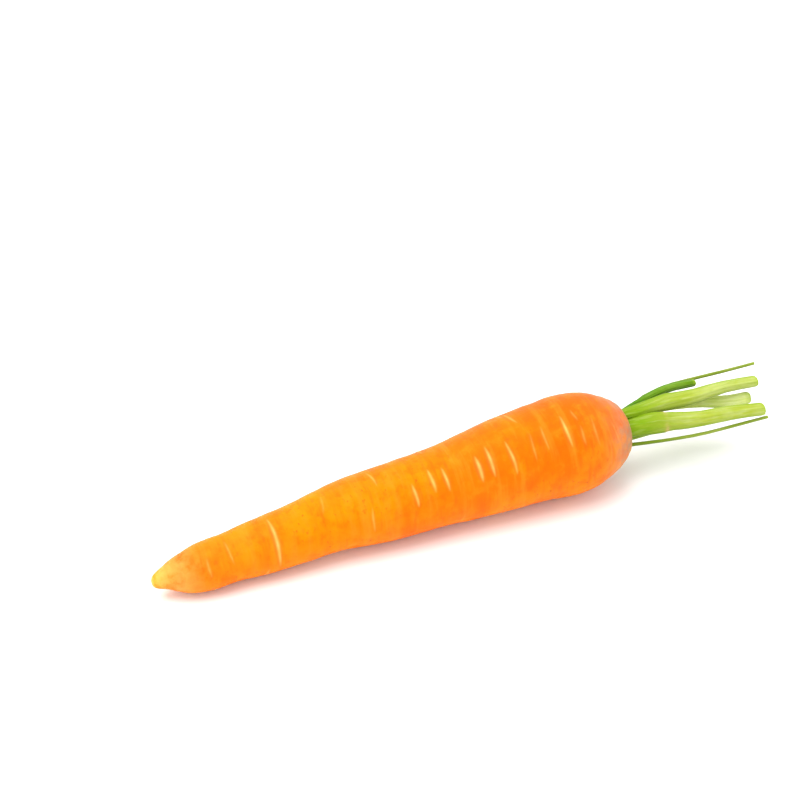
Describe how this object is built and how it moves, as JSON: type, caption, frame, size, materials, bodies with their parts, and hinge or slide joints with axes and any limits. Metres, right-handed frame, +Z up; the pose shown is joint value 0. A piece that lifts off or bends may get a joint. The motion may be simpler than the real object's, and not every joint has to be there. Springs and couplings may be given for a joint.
{
  "type": "carrot",
  "caption": "Fresh carrot lying on its side: a tapered orange root with a blunt tip and the cut green stubs of its leaf stalks.",
  "frame": {"origin": "middle of the bounding box, on the surface that the carrot lies on", "axes": "+X along the root from its tip to its crown and stalks, +Z up"},
  "size_m": [0.2408, 0.037, 0.0362],
  "materials": {
    "carrot_skin": "satin",
    "green_stalk": "satin",
    "pale_stalk": "satin",
    "dark_stalk": "satin"
  },
  "bodies": {
    "root": {"taproot": "carrot_skin", "stalk_upper": "green_stalk", "stalk_lower": "green_stalk", "stalk_middle": "pale_stalk", "stalk_short": "dark_stalk", "stalk_thin_top": "dark_stalk", "stalk_thin_bottom": "dark_stalk", "stalk_back": "green_stalk", "stalk_heart": "pale_stalk"}
  },
  "joints": []
}
